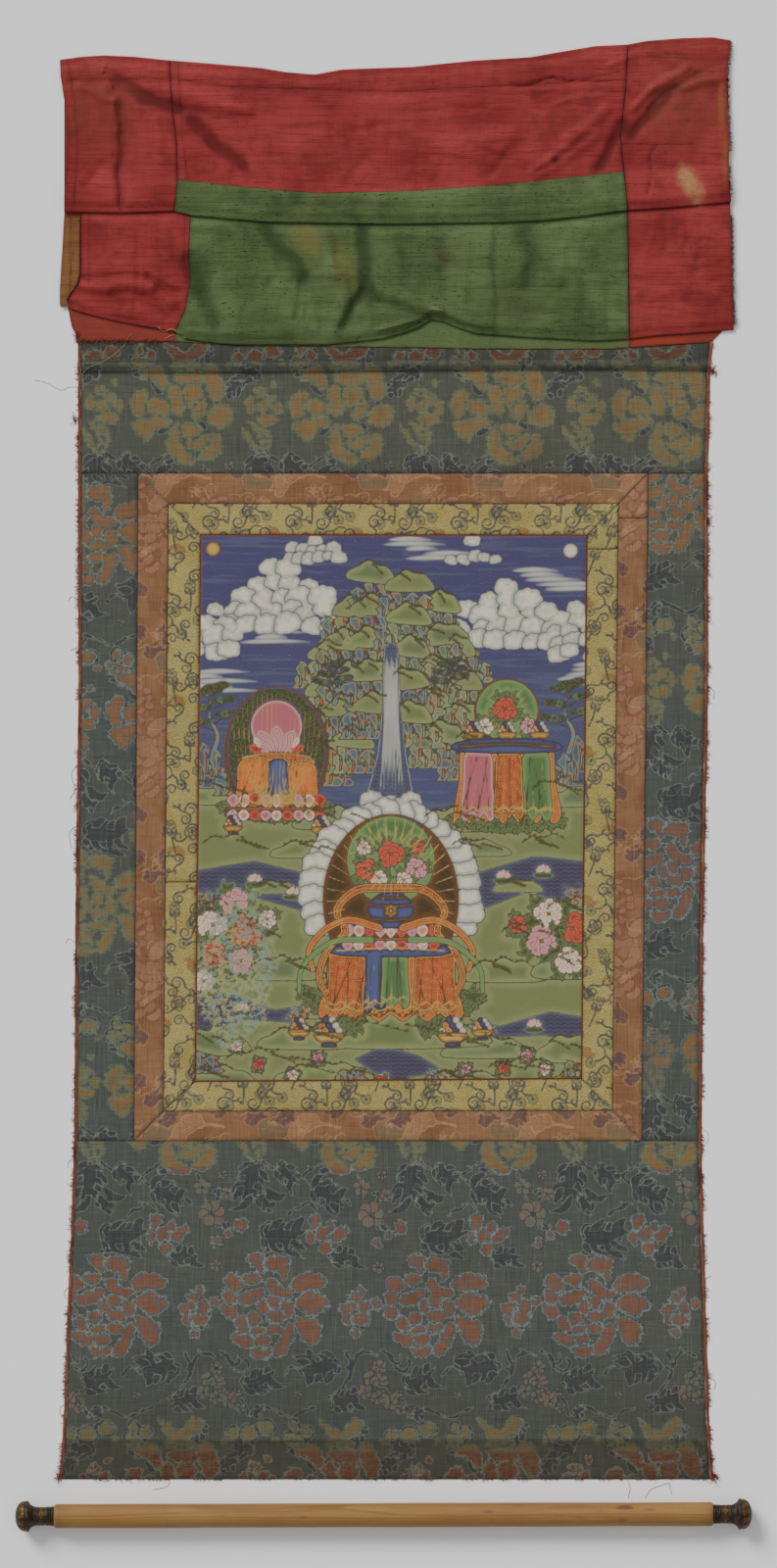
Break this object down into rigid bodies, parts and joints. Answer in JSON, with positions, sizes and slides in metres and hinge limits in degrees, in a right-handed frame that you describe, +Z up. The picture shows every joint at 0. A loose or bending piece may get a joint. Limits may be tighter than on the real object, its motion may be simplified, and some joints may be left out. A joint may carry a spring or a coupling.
{
  "type": "scroll painting in a brocade mount with its silk veil and its dowel",
  "caption": "Hanging scroll laid flat and face up: painted sheet in nested silk borders, folded silk veil above, turned wooden dowel with knobs lying below the hem.",
  "frame": {"origin": "centre of the whole outline, the dowel included, on the surface it lies on", "axes": "+X to the picture's right, +Y to the picture's top, +Z up off the surface, out of the picture's face"},
  "size_m": [0.811, 1.6459, 0.034],
  "materials": {
    "painting": "sized cotton with matt mineral paint",
    "inner_border": "gold-yellow figured silk",
    "outer_border": "rust figured silk brocade",
    "brocade": "blue-grey figured silk brocade, worn",
    "edging": "frayed orange-red piping",
    "veil_green": "plain slubby green silk",
    "veil_red": "plain slubby red silk",
    "veil_facing": "plain tan silk facing",
    "dowel": "bare straight-grained softwood",
    "knob": "dark bronze with worn gilding"
  },
  "bodies": {
    "root": {"painting": "painting", "inner_border_top": "inner_border", "inner_border_bottom": "inner_border", "inner_border_left_lower": "inner_border", "inner_border_left_upper": "inner_border", "inner_border_right_lower": "inner_border", "inner_border_right_upper": "inner_border", "outer_border_top": "outer_border", "outer_border_bottom": "outer_border", "outer_border_left": "outer_border", "outer_border_right_lower": "outer_border", "outer_border_right_upper": "outer_border", "brocade_top": "brocade", "brocade_left": "brocade", "brocade_right": "brocade", "brocade_bottom": "brocade", "edging_left": "edging", "edging_right": "edging", "veil_green": "veil_green", "veil_top": "veil_red", "veil_left": "veil_red", "veil_right": "veil_red", "veil_facing": "veil_facing", "dowel_rod": "dowel", "knob_left": "knob", "knob_right": "knob"}
  },
  "joints": []
}
